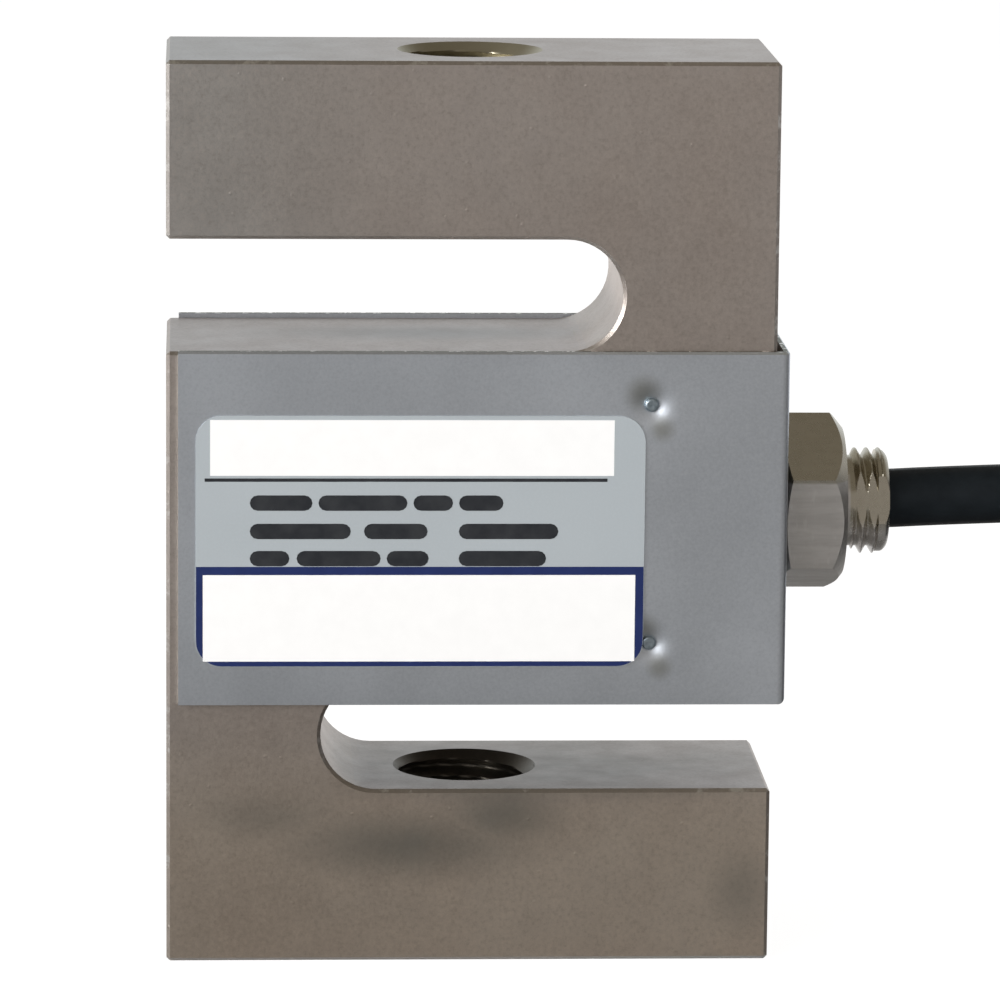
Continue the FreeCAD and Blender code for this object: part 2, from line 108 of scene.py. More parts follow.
def closed(mesh):
    """Turns every face of a closed mesh outward."""
    grid = bmesh.new()
    grid.from_mesh(mesh)
    bmesh.ops.recalc_face_normals(grid, faces=grid.faces)
    grid.to_mesh(mesh)
    grid.free()
    return mesh


def apply_modifiers(piece):
    """Bakes a piece's modifiers into its mesh."""
    graph = bpy.context.evaluated_depsgraph_get()
    baked = bpy.data.meshes.new_from_object(piece.evaluated_get(graph))
    piece.modifiers.clear()
    piece.data = baked


def cut_away(piece, tool):
    """Removes a closed tool mesh from a piece, then drops the tool."""
    cutter = bpy.data.objects.new("cutter", tool)
    bpy.context.scene.collection.objects.link(cutter)
    boolean = piece.modifiers.new("cut", "BOOLEAN")
    boolean.operation = "DIFFERENCE"
    boolean.solver = "EXACT"
    boolean.object = cutter
    bpy.context.view_layer.update()
    apply_modifiers(piece)
    bpy.data.objects.remove(cutter)


def spokes(axis, steps):
    """Unit vectors square to an axis, evenly spaced all the way round it."""
    axis = Vector(axis).normalized()
    side = axis.orthogonal().normalized()
    other = axis.cross(side)
    angles = [2 * math.pi * step / steps for step in range(steps)]
    return [side * math.cos(angle) + other * math.sin(angle) for angle in angles]


def tube_mesh(name, profile, axis_origin, axis, steps=96):
    """A closed profile of (radius, distance along the axis) turned about the axis."""
    unit = Vector(axis).normalized()
    points = []
    for outward in spokes(axis, steps):
        for radius, along in profile:
            points.append(axis_origin + outward * radius + unit * along)
    count = len(profile)
    faces = []
    for step in range(steps):
        here = step * count
        there = ((step + 1) % steps) * count
        for index in range(count):
            nxt = (index + 1) % count
            faces.append((here + index, there + index, there + nxt, here + nxt))
    return mesh_from(name, points, faces)


def prism(outline, near, far, first=0):
    """Points and faces of an (x, z) outline drawn out from one y to another."""
    count = len(outline)
    points = [Vector((x, near, z)) for x, z in outline]
    points += [Vector((x, far, z)) for x, z in outline]
    faces = [tuple(range(first, first + count)),
             tuple(range(first + 2 * count - 1, first + count - 1, -1))]
    for index in range(count):
        here = first + index
        nxt = first + (index + 1) % count
        faces.append((here, here + count, nxt + count, nxt))
    return points, faces


def arc(centre, radius, start, turn, steps):
    """Points of a circular arc; angles in degrees."""
    angles = [math.radians(start + turn * step / steps) for step in range(steps + 1)]
    return [(centre[0] + radius * math.cos(angle), centre[1] + radius * math.sin(angle))
            for angle in angles]


def cad_copy(node, name):
    """A new piece with a CAD node's own form, to carry finer detail in its place."""
    piece = new_object(name, frame["nodes"][node].data.copy())
    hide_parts(node)
    return piece


def weld(piece):
    """Joins the corners of a CAD mesh and drops the edges across its flat faces."""
    grid = bmesh.new()
    grid.from_mesh(piece.data)
    bmesh.ops.remove_doubles(grid, verts=grid.verts, dist=WELD_REACH)
    bmesh.ops.dissolve_limit(grid, angle_limit=FLAT_ANGLE, verts=grid.verts, edges=grid.edges)
    grid.to_mesh(piece.data)
    grid.free()


# ---- Screw threads ----
CREST_SHARE = 0.10
ROOT_SHARE = 0.14
ROWS_PER_PITCH = 18


def thread_depth(phase):
    """0 at the crest and 1 at the root, over one pitch, with short flats at both."""
    phase = phase % 1.0
    rise = (1 - CREST_SHARE - ROOT_SHARE) / 2
    if phase < CREST_SHARE:
        return 0.0
    if phase < CREST_SHARE + rise:
        return (phase - CREST_SHARE) / rise
    if phase < CREST_SHARE + rise + ROOT_SHARE:
        return 1.0
    return 1 - (phase - CREST_SHARE - rise - ROOT_SHARE) / rise


def threaded_shell(name, origin, axis, length, radii, pitch, limit, turns=128):
    """A closed ring whose shown side is a thread and whose other side is hidden.

    radii are those of crest, root and hidden side; limit holds the thread's
    radius to what the distance along the axis leaves it.
    """
    crest, root, hidden_radius = radii
    unit = Vector(axis).normalized()
    around = spokes(axis, turns)
    rows = max(2, round(length / pitch * ROWS_PER_PITCH)) + 1
    points = []
    for row in range(rows):
        along = length * row / (rows - 1)
        for step, outward in enumerate(around):
            depth = thread_depth(along / pitch - step / turns)
            radius = limit(crest + (root - crest) * depth, along)
            points.append(origin + outward * radius + unit * along)
    hidden = len(points)
    for along in (0, length):
        points += [origin + outward * hidden_radius + unit * along for outward in around]
    faces = []
    for row in range(rows - 1):
        for step in range(turns):
            nxt = (step + 1) % turns
            low = row * turns
            high = low + turns
            faces.append((low + step, low + nxt, high + nxt, high + step))
    top = (rows - 1) * turns
    for step in range(turns):
        nxt = (step + 1) % turns
        faces.append((step, hidden + step, hidden + nxt, nxt))
        faces.append((top + step, top + nxt, hidden + turns + nxt, hidden + turns + step))
        faces.append((hidden + step, hidden + turns + step, hidden + turns + nxt, hidden + nxt))
    return closed(mesh_from(name, points, faces))


M12_PITCH = 1.75 * MM
M12_CREST = 5.053 * MM
M12_ROOT = 6.0 * MM
M12_MOUTH = 6.1 * MM
BORE_RADIUS = 6.12 * MM
BORE_STARTS = {"lower": BODY_LOW.z, "upper": BODY_HIGH.z - ARM_DEPTH}


def internal_limit(length):
    """Countersinks of 45 degrees at both mouths hold the thread back."""
    def limit(radius, along):
        return max(radius, M12_MOUTH - along, M12_MOUTH - (length - along))
    return limit


def bore_thread(name, low_z):
    mesh = threaded_shell(name, Vector((0, 0, low_z)), (0, 0, 1), ARM_DEPTH,
                          (M12_CREST, M12_ROOT, BORE_RADIUS), M12_PITCH,
                          internal_limit(ARM_DEPTH))
    return new_object(name, mesh, smooth_angle=35)


def body():
    """The S body with both arm bores opened to the thread's outside."""
    piece = cad_copy("s_body", "body_block")
    weld(piece)
    overrun = 1 * MM
    profile = [(AXIS_RADIUS, -overrun), (BORE_RADIUS, -overrun),
               (BORE_RADIUS, ARM_DEPTH + overrun), (AXIS_RADIUS, ARM_DEPTH + overrun)]
    for low_z in BORE_STARTS.values():
        drill = closed(tube_mesh("drill", profile, Vector((0, 0, low_z)), (0, 0, 1), 128))
        cut_away(piece, drill)
    shade_by_angle(piece, 25)
    return piece


# ---- Camera ----
CAMERA_PLACE = (-0.0231, -0.5058, 0.1305)
CAMERA_FORWARD = (0.05046, 0.98236, -0.18005)
CAMERA_RIGHT = (0.99873, -0.04960, 0.00926)
CAMERA_LENS = 218.2


def camera():
    forward = Vector(CAMERA_FORWARD).normalized()
    right = Vector(CAMERA_RIGHT).normalized()
    up = right.cross(forward).normalized()
    right = forward.cross(up)
    data = bpy.data.cameras.new("camera")
    data.lens = CAMERA_LENS
    data.sensor_width = 36
    data.clip_start = 0.01
    data.clip_end = 20
    data.dof.use_dof = False
    piece = bpy.data.objects.new("camera", data)
    bpy.context.scene.collection.objects.link(piece)
    turned = Matrix((right, up, -forward)).transposed().to_4x4()
    piece.matrix_world = Matrix.Translation(CAMERA_PLACE) @ turned
    bpy.context.scene.camera = piece


# ---- Cable: out of the gland and down into the top turn of its shipping coil ----
COIL_CENTRE = Vector((0.112, 0.023, 0))
COIL_TOP_TURN = 0.0284
COIL_LAYER = 0.005
COIL_COLUMNS = (0.031, 0.026, 0.021)
COIL_LAYERS = 6
POINTS_PER_TURN = 20
STEP_OVER = 3
COIL_SLACK = 0.010
JACKET_CUT = Vector((0.087, 0.054, 0.0034))

# From inside the gland, out level, then down to the height of the coil's top turn.
ROUTE = [
    (0.0135, 0.0, 0.0378),
    (0.0330, 0.0, 0.0378),
    (0.0400, 0.0, 0.0382),
    (0.0560, -0.0006, 0.0388),
    (0.0760, -0.0080, 0.0284),
    (0.0940, -0.0080, 0.0284),
]


def coil_stations():
    """Radius and height of each turn, top layer first, in and out by turns."""
    stations = []
    for layer in range(COIL_LAYERS):
        columns = COIL_COLUMNS if layer % 2 == 0 else COIL_COLUMNS[::-1]
        height = COIL_TOP_TURN - layer * COIL_LAYER
        stations += [(radius, height) for radius in columns]
    return stations


def coil_points():
    """Control points of the wound turns; each turn steps over a little sooner."""
    stations = coil_stations()
    turns = len(stations) - 0.5
    # The curve runs a little inside its control points; this sets them out to suit.
    spread = 1 / (0.75 + 0.25 * math.cos(2 * math.pi / POINTS_PER_TURN))
    points = []
    for index in range(1, round(turns * POINTS_PER_TURN)):
        turn, part = divmod(index, POINTS_PER_TURN)
        here = stations[turn]
        there = stations[min(turn + 1, len(stations) - 1)]
        step_start = POINTS_PER_TURN - STEP_OVER - turn
        share = min(1, max(0, (part - step_start) / STEP_OVER))
        radius = here[0] + (there[0] - here[0]) * share
        height = here[1] + (there[1] - here[1]) * share
        angle = 2 * math.pi * index / POINTS_PER_TURN
        # Each turn is drawn in at its sides by an amount of its own.
        loose = 1 - COIL_SLACK * abs(math.sin(angle)) * (0.5 + 0.5 * math.sin(1.7 * turn))
        radius *= spread * loose
        points.append((COIL_CENTRE.x + radius * math.sin(angle),
                       COIL_CENTRE.y - radius * math.cos(angle), height))
    return points


def spline_curve(name, points, radius, material):
    """A smooth round line steered by its control points."""
    data = bpy.data.curves.new(name, "CURVE")
    data.dimensions = "3D"
    spline = data.splines.new("NURBS")
    spline.points.add(len(points) - 1)
    for place, point in zip(spline.points, points):
        place.co = (*point, 1)
    spline.order_u = 3
    spline.use_endpoint_u = True
    spline.resolution_u = 4
    data.bevel_depth = radius
    data.bevel_resolution = 5
    data.use_fill_caps = True
    data.materials.append(material)
    piece = bpy.data.objects.new(name, data)
    bpy.context.scene.collection.objects.link(piece)
    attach(piece, "root")
    return piece


def cable(material):
    """One line from the gland through the coil to where its jacket is cut."""
    outer = COIL_COLUMNS[0]
    last_height = COIL_TOP_TURN - (COIL_LAYERS - 1) * COIL_LAYER
    points = list(ROUTE)
    points.append((COIL_CENTRE.x - 0.004, COIL_CENTRE.y - outer, COIL_TOP_TURN))
    points += coil_points()
    points.append((COIL_CENTRE.x + 0.003, COIL_CENTRE.y + outer, last_height))
    points.append((COIL_CENTRE.x - 0.012, COIL_CENTRE.y + outer, last_height))
    points.append(tuple(JACKET_CUT))
    piece = spline_curve("signal_cable", points, CABLE_RADIUS, material)
    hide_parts("cable_lead", "cable_coil")
    return piece


# ---- The far end of the cable: ties, sleeve and stripped wires ----
TIE_CLEARANCE = 0.45 * MM
TIE_CORNER = 1.9 * MM
TIE_HALF_WIDTH = 1.8 * MM
RIBBON_HALF = 0.16 * MM
RIBBON_RIDGE = 0.38 * MM
TWIST_TURNS = 3.2
TWIST_STEPS = 60
TWIST_OFFSET = 0.34 * MM
TWIST_HALF_WIDTH = 0.5 * MM
TWIST_HALF_DEPTH = 0.26 * MM


def swept_strip(name, path, half_width, profile, side):
    """A thin band of a given cross profile swept round a closed path."""
    points = []
    count = len(profile)
    for index, place in enumerate(path):
        before = path[index - 1]
        after = path[(index + 1) % len(path)]
        along = (after - before).normalized()
        outward = side.cross(along).normalized()
        for across, rise in profile:
            points.append(place + side * across * half_width + outward * rise)
    faces = []
    for index in range(len(path)):
        here = index * count
        there = ((index + 1) % len(path)) * count
        for corner in range(count):
            nxt = (corner + 1) % count
            faces.append((here + corner, here + nxt, there + nxt, there + corner))
    return new_object(name, mesh_from(name, points, faces), smooth_angle=50)


def rounded_loop(low, high, radius, steps=6):
    """Corner-rounded rectangle in (r, z), counter-clockwise."""
    corners = [(high[0] - radius, low[1] + radius, -90), (high[0] - radius, high[1] - radius, 0),
               (low[0] + radius, high[1] - radius, 90), (low[0] + radius, low[1] + radius, 180)]
    loop = []
    for centre_r, centre_z, start in corners:
        loop += arc((centre_r, centre_z), radius, start, 90, steps)
    return loop


def tie_twist(name, start, length):
    """The tie's two ends, wound round each other up from a point."""
    twisted = bmesh.new()
    for strand in (0, math.pi):
        rings = []
        for step in range(TWIST_STEPS + 1):
            share = step / TWIST_STEPS
            turn = strand + 2 * math.pi * TWIST_TURNS * share
            outward = Vector((math.cos(turn), math.sin(turn), 0))
            centre = start + outward * TWIST_OFFSET + Vector((0, 0, length * share))
            across = Vector((-math.sin(turn), math.cos(turn), 0)) * TWIST_HALF_WIDTH
            thin = outward * TWIST_HALF_DEPTH
            ring = [centre + across + thin, centre - across + thin,
                    centre - across - thin, centre + across - thin]
            rings.append([twisted.verts.new(point) for point in ring])
        for low_ring, high_ring in zip(rings, rings[1:]):
            for corner in range(4):
                nxt = (corner + 1) % 4
                twisted.faces.new((low_ring[corner], low_ring[nxt], high_ring[nxt],
                                   high_ring[corner]))
        twisted.faces.new(rings[0][::-1])
        twisted.faces.new(rings[-1])
    mesh = bpy.data.meshes.new(name)
    twisted.to_mesh(mesh)
    twisted.free()
    return new_object(name, mesh, smooth_angle=40)


def coil_tie(side_name, direction):
    """A wired tie: ribbon round the bundle, its two ends twisted together on top."""
    node = "coil_tie_" + side_name
    inner = COIL_COLUMNS[-1] - CABLE_RADIUS - TIE_CLEARANCE
    outer = COIL_COLUMNS[0] + CABLE_RADIUS + TIE_CLEARANCE
    top = COIL_TOP_TURN + CABLE_RADIUS + TIE_CLEARANCE
    loop = rounded_loop((inner, TIE_CLEARANCE), (outer, top), TIE_CORNER)
    path = [COIL_CENTRE + Vector((direction * r, 0, z)) for r, z in loop]
    if direction < 0:
        path.reverse()
    profile = [(-1, -RIBBON_HALF), (1, -RIBBON_HALF), (1, RIBBON_HALF), (0.3, RIBBON_HALF),
               (0.16, RIBBON_RIDGE), (-0.16, RIBBON_RIDGE), (-0.3, RIBBON_HALF),
               (-1, RIBBON_HALF)]
    band = swept_strip(node + "_band", path, TIE_HALF_WIDTH, profile,
                       Vector((0, 1, 0)))
    start = COIL_CENTRE + Vector((direction * COIL_COLUMNS[1], 0, top))
    twist = tie_twist(node + "_twist", start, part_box(node)[1].z - top)
    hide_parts(node)
    return [band, twist]


def sleeve():
    """Heat-shrink that follows the jacket and necks down past its cut end."""
    lap_end = SLEEVE_HIGH.x
    length = SLEEVE_HIGH.x - SLEEVE_LOW.x
    outer = (SLEEVE_HIGH.y - SLEEVE_LOW.y) / 2
    jacket = CABLE_RADIUS - 0.02 * MM
    cut = lap_end - JACKET_CUT.x
    profile = [(jacket, 0.3 * MM), (outer - 0.12 * MM, 0), (outer, 0.35 * MM),
               (outer, cut - 0.4 * MM), (outer - 0.35 * MM, cut + 0.7 * MM),
               (outer - 0.62 * MM, length - 0.5 * MM), (outer - 0.75 * MM, length),
               (outer - 1.1 * MM, length), (outer - 1.0 * MM, cut + 0.6 * MM), (jacket, cut)]
    origin = Vector((lap_end, JACKET_CUT.y, JACKET_CUT.z))
    mesh = tube_mesh("end_shrink", profile, origin, (-1, 0, 0), 48)
    piece = new_object("end_shrink", mesh, smooth_angle=40)
    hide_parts("end_sleeve")
    return piece


CORE_RADIUS = 0.55 * MM
CORE_SPACING = 0.8 * MM
TIP_RADIUS = 0.36 * MM
DRAIN_RADIUS = 0.3 * MM

# Each core's place in the jacket, back and up, and how far it drifts back (mm).
WIRES = {
    "red": (1, 1, 2.6),
    "green": (-1, 1, -1.2),
    "white": (1, -1, 1.0),
    "black": (-1, -1, -3.2),
}


def end_wires(core_materials, bare_material):
    """Four insulated cores with short tinned tips, and the bare drain wire."""
    pieces = []
    for name, (back, up, sideways) in WIRES.items():
        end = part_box("end_wire_" + name)[0].x
        start = JACKET_CUT + Vector((0, back * CORE_SPACING, up * CORE_SPACING))
        y = start.y
        drift = sideways * MM
        points = [start + Vector((4 * MM, 0, 0)), start,
                  start + Vector((-5 * MM, 0.1 * drift, -0.6 * MM)),
                  Vector((start.x - 10 * MM, y + 0.3 * drift, 1.3 * MM)),
                  Vector((start.x - 15 * MM, y + 0.65 * drift, CORE_RADIUS)),
                  Vector((end + 4 * MM, y + 0.92 * drift, CORE_RADIUS))]
        wire = spline_curve("core_" + name, points, CORE_RADIUS, core_materials[name])
        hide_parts("end_wire_" + name)
        tip = [points[-1] + Vector((0.5 * MM, 0, 0)), points[-1],
               Vector((end + 0.3 * MM, y + 0.96 * drift, 0.42 * MM))]
        bare = spline_curve("tip_" + name, tip, TIP_RADIUS, bare_material)
        pieces += [wire, bare]
    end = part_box("shield_drain_wire")[0].x
    route = [JACKET_CUT + Vector((4 * MM, 0, 0)), JACKET_CUT,
             JACKET_CUT + Vector((-6 * MM, 0, -1 * MM)),
             JACKET_CUT + Vector((-11 * MM, 0.1 * MM, -2.7 * MM)),
             Vector((end + 0.3 * MM, JACKET_CUT.y + 0.3 * MM, 0.32 * MM))]
    drain = spline_curve("drain_wire", route, DRAIN_RADIUS, bare_material)
    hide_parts("shield_drain_wire")
    return pieces + [drain]


# ---- Cover: the folded sheet with its drawn dimples and softened corner ----
PIN_PLACES = {level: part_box("cover_pin_front_" + level) for level in ("upper", "lower")}
PIN_X = (PIN_PLACES["upper"][0].x + PIN_PLACES["upper"][1].x) / 2
PIN_HEIGHTS = {level: (low.z + high.z) / 2 for level, (low, high) in PIN_PLACES.items()}
FACES = (("front", -1), ("rear", 1))
DIMPLE_REACH = 3.6 * MM
DIMPLE_RINGS = 22
DIMPLE_STEPS = 72
DIMPLE_DEPTH = 0.46 * MM
DIMPLE_SPREAD = 1.2 * MM
POCKET = 0.5 * MM
COVER_FACE = (COVER_HIGH.y - COVER_LOW.y) / 2
COVER_CORNER = 0.55 * MM
PIN_HEAD = 0.3 * MM
PIN_SHANK = 0.4 * MM


def dimple_depth(radius):
    """How far the sheet is drawn in at a distance from the pin's axis."""
    fade = 1 - min(1, radius / DIMPLE_REACH) ** 4
    return DIMPLE_DEPTH * math.exp(-(radius / DIMPLE_SPREAD) ** 2) * fade


def dimple(name, side, pin_z):
    """The drawn sheet round one pin, as a plug that fills its pocket."""
    shares = [0.005] + [step / DIMPLE_RINGS for step in range(1, DIMPLE_RINGS + 1)]
    profile = [(0.02 * MM, POCKET)]
    profile += [(DIMPLE_REACH * share, dimple_depth(DIMPLE_REACH * share)) for share in shares]
    profile.append((DIMPLE_REACH, POCKET))
    origin = Vector((PIN_X, side * COVER_FACE, pin_z))
    mesh = tube_mesh(name, profile, origin, (0, -side, 0), DIMPLE_STEPS)
    return new_object(name, mesh, smooth_angle=35)


def corner_trim(radius):
    """The waste outside a rounded lower corner, right across the thickness."""
    corner_x = COVER_HIGH.x
    corner_z = COVER_LOW.z
    past = 0.5 * MM
    outline = [(corner_x + past, corner_z - past), (corner_x + past, corner_z + radius)]
    outline += arc((corner_x - radius, corner_z + radius), radius, 0, -90, 8)
    outline.append((corner_x - radius, corner_z - past))
    reach = COVER_FACE + past
    return closed(mesh_from("corner_trim", *prism(outline, -reach, reach)))


def cover():
    """The folded sheet, with a pocket and its drawn plug round each pin."""
    piece = cad_copy("wrap_cover", "cover_wrap")
    weld(piece)
    pieces = [piece]
    pocket = [(AXIS_RADIUS, -POCKET), (DIMPLE_REACH, -POCKET), (DIMPLE_REACH, POCKET),
              (AXIS_RADIUS, POCKET)]
    for face, side in FACES:
        for level, pin_z in PIN_HEIGHTS.items():
            origin = Vector((PIN_X, side * COVER_FACE, pin_z))
            tool = closed(tube_mesh("pocket", pocket, origin, (0, -side, 0), DIMPLE_STEPS))
            cut_away(piece, tool)
            pieces.append(dimple("cover_dimple_" + face + "_" + level, side, pin_z))
    cut_away(piece, corner_trim(COVER_CORNER))
    shade_by_angle(piece, 30)
    return pieces


def pin(face, level, side):
    """A drive pin's head, its edge turned over, on a short length of shank."""
    node = "cover_pin_" + face + "_" + level
    low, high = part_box(node)
    radius = (high.x - low.x) / 2
    crown = low.y if side < 0 else high.y
    origin = Vector((PIN_X, crown, PIN_HEIGHTS[level]))
    length = high.y - low.y
    profile = [(AXIS_RADIUS, 0.03 * MM), (0.35 * radius, 0.02 * MM), (0.66 * radius, 0),
               (0.84 * radius, 0.025 * MM), (0.95 * radius, 0.09 * MM), (radius, 0.2 * MM),
               (radius, PIN_HEAD), (PIN_SHANK, PIN_HEAD), (PIN_SHANK, length),
               (AXIS_RADIUS, length)]
    mesh = closed(tube_mesh(node + "_head", profile, origin, (0, -side, 0), 40))
    piece = new_object(node + "_head", mesh, smooth_angle=50)
    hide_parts(node)
    return piece


# ---- Gland: spanner hexagon with its outer screwed end ----
GLAND_PITCH = 1.0 * MM
GLAND_CREST = 4.5 * MM
GLAND_ROOT = 3.86 * MM
GLAND_CORE = 3.7 * MM
STUB_LENGTH = 3.8 * MM
STUB_START = GLAND_END - STUB_LENGTH
STUB_FLAT = 3.82 * MM
STUB_FLAT_TILT = math.radians(10)
UNDERCUT = 0.75 * MM
RUN_OUT = 0.3 * MM
LAND = 0.95 * MM
LAND_RADIUS = GLAND_CREST - 0.16 * MM
ROUNDING = 0.55 * MM
ROUNDING_DROP = 0.45 * MM


def stub_limit(radius, along):
    """Undercut at the hexagon, thread running out into it, rounded land at the end."""
    if along < UNDERCUT:
        return GLAND_ROOT
    run_out = (along - UNDERCUT) / RUN_OUT
    radius = min(radius, GLAND_ROOT + (GLAND_CREST - GLAND_ROOT) * run_out)
    left = STUB_LENGTH - along
    if left < LAND:
        radius = max(radius, LAND_RADIUS)
    if left < ROUNDING:
        radius = LAND_RADIUS - ROUNDING_DROP * (1 - left / ROUNDING) ** 2
    return radius


def gland():
    """The CAD's hexagon, its plain stub cut away and a threaded one in its place."""
    piece = cad_copy("gland_body", "gland_hexagon")
    weld(piece)
    outside = GLAND_CREST + 2 * MM
    ring = [(GLAND_CORE, 0), (outside, 0), (outside, STUB_LENGTH + MM),
            (GLAND_CORE, STUB_LENGTH + MM)]
    origin = Vector((STUB_START, 0, GLAND_Z))
    cut_away(piece, closed(tube_mesh("stub_ring", ring, origin, (1, 0, 0), 96)))
    shade_by_angle(piece, 25)
    mesh = threaded_shell("gland_thread", origin, (1, 0, 0), STUB_LENGTH,
                          (GLAND_CREST, GLAND_ROOT, GLAND_CORE), GLAND_PITCH, stub_limit,
                          turns=144)
    facing = Vector((0, -math.cos(STUB_FLAT_TILT), math.sin(STUB_FLAT_TILT)))
    for vertex in mesh.vertices:
        past = (vertex.co - origin).dot(facing) - STUB_FLAT
        if past > 0:
            vertex.co -= facing * past
    return [piece, new_object("gland_thread", mesh, smooth_angle=20)]


# ---- Rating label: print as plain fields, with no lettering ----
PRINT_FILM = 0.012 * MM


def film(name, outlines, layer=1):
    """Thin printed fields standing on the label's face; outlines in (x, z)."""
    if not isinstance(outlines[0], list):
        outlines = [outlines]
    front = LABEL_LOW.y - PRINT_FILM * layer
    back = LABEL_LOW.y + PRINT_FILM
    points = []
    faces = []
    for outline in outlines:
        more_points, more_faces = prism(outline, front, back, len(points))
        points += more_points
        faces += more_faces
    return new_object(name, closed(mesh_from(name, points, faces)))


def rectangle(low_x, low_z, high_x, high_z):
    """The four corners, counter-clockwise."""
    return [(low_x, low_z), (high_x, low_z), (high_x, high_z), (low_x, high_z)]


def band_outline(low_x, low_z, high_x, high_z, radius, steps=10):
    """A rectangle with its two lower corners rounded."""
    centre_z = low_z + radius
    return (arc((low_x + radius, centre_z), radius, 180, 90, steps)
            + arc((high_x - radius, centre_z), radius, 270, 90, steps)
            + [(high_x, high_z), (low_x, high_z)])


def label_print():
    """The label's coloured band, its blank fields, the rule and three greeked lines."""
    inset = 0.03 * MM
    bottom = LABEL_LOW.z
    left = LABEL_LOW.x
    right = LABEL_HIGH.x
    band = film("label_band", band_outline(left + inset, bottom + inset, right - inset,
                                           bottom + 8.5 * MM, 2.15 * MM))
    lower = film("label_blank_lower", rectangle(left + 0.6 * MM, bottom + 0.45 * MM,
                                                right - 0.72 * MM, bottom + 7.8 * MM), 2)
    upper = film("label_blank_upper", rectangle(left + 1.2 * MM, bottom + 16.2 * MM,
                                                left + 34.8 * MM, bottom + 20.9 * MM))
    rule = film("label_rule", rectangle(left + 0.75 * MM, bottom + 15.7 * MM,
                                        left + 34.25 * MM, bottom + 15.98 * MM))
    return {"band": band, "blanks": [lower, upper], "ink": [rule, greeked_lines(left, bottom)]}


# Plain bars where a rating plate's lines of text would stand, in mm: per line its
# height above the lower edge, then where each bar starts and ends along the label.
LINES = [
    (13.9, [(4.5, 9.7), (10.2, 17.6), (18.1, 21.4), (21.9, 25.6)]),
    (11.5, [(4.5, 12.9), (14.0, 19.3), (21.9, 30.2)]),
    (9.2, [(4.5, 7.8), (8.4, 15.4), (15.9, 19.4), (21.9, 29.2)]),
]
LINE_HEIGHT = 1.3


def greeked_lines(left, bottom):
    """Three lines of plain bars with soft ends, in one mesh."""
    outlines = []
    half = LINE_HEIGHT / 2 * MM
    for rise, bars in LINES:
        centre_z = bottom + rise * MM
        for start, end in bars:
            right_end = arc((left + end * MM - half, centre_z), half, -90, 180, 6)
            left_end = arc((left + start * MM + half, centre_z), half, 90, 180, 6)
            outlines.append(right_end + left_end)
    return film("label_lines", outlines)


# ---- Procedural materials ----
# Where the painted light that brightens colours towards the right begins and ends along x.
LIT_RIGHTWARD_SPAN = (-0.012, 0.026)
EVEN = (0.35, 0.65)
WIDE = (0.3, 0.7)


def tinted(value):
    """A colour as four numbers; a socket is passed on as it is."""
    if isinstance(value, tuple) and len(value) == 3:
        return (*value, 1.0)
    return value


class Nodes:
    """Short calls for building one node tree."""

    def __init__(self, tree):
        self.tree = tree
        tree.nodes.clear()

    def feed(self, node, socket, value):
        """Gives a node's input either a value or another node's output."""
        if isinstance(value, bpy.types.NodeSocket):
            self.tree.links.new(value, node.inputs[socket])
        else:
            node.inputs[socket].default_value = value

    def add(self, kind, **values):
        """A new node; an underscore in an input's keyword stands for a space."""
        node = self.tree.nodes.new(kind)
        for socket, value in values.items():
            self.feed(node, socket.replace("_", " "), value)
        return node

    def math(self, operation, first, second=0.0):
        node = self.tree.nodes.new("ShaderNodeMath")
        node.operation = operation
        self.feed(node, 0, first)
        self.feed(node, 1, second)
        return node.outputs[0]

    def times(self, first, second):
        return self.math("MULTIPLY", first, second)

    def most(self, first, second):
        return self.math("MAXIMUM", first, second)

    def size_of(self, value):
        return self.math("ABSOLUTE", value)

    def span(self, value, low, high, to_low=0.0, to_high=1.0, smooth=False):
        """Maps low..high of a value to another range, held at both ends."""
        node = self.add("ShaderNodeMapRange", Value=value, From_Min=low, From_Max=high,
                        To_Min=to_low, To_Max=to_high)
        node.interpolation_type = "SMOOTHSTEP" if smooth else "LINEAR"
        return node.outputs["Result"]

    def blend(self, share, first, second, kind="MIX"):
        node = self.tree.nodes.new("ShaderNodeMix")
        node.data_type = "RGBA"
        node.blend_type = kind
        node.clamp_factor = True
        self.feed(node, "Factor", share)
        self.feed(node, "A", tinted(first))
        self.feed(node, "B", tinted(second))
        return node.outputs["Result"]


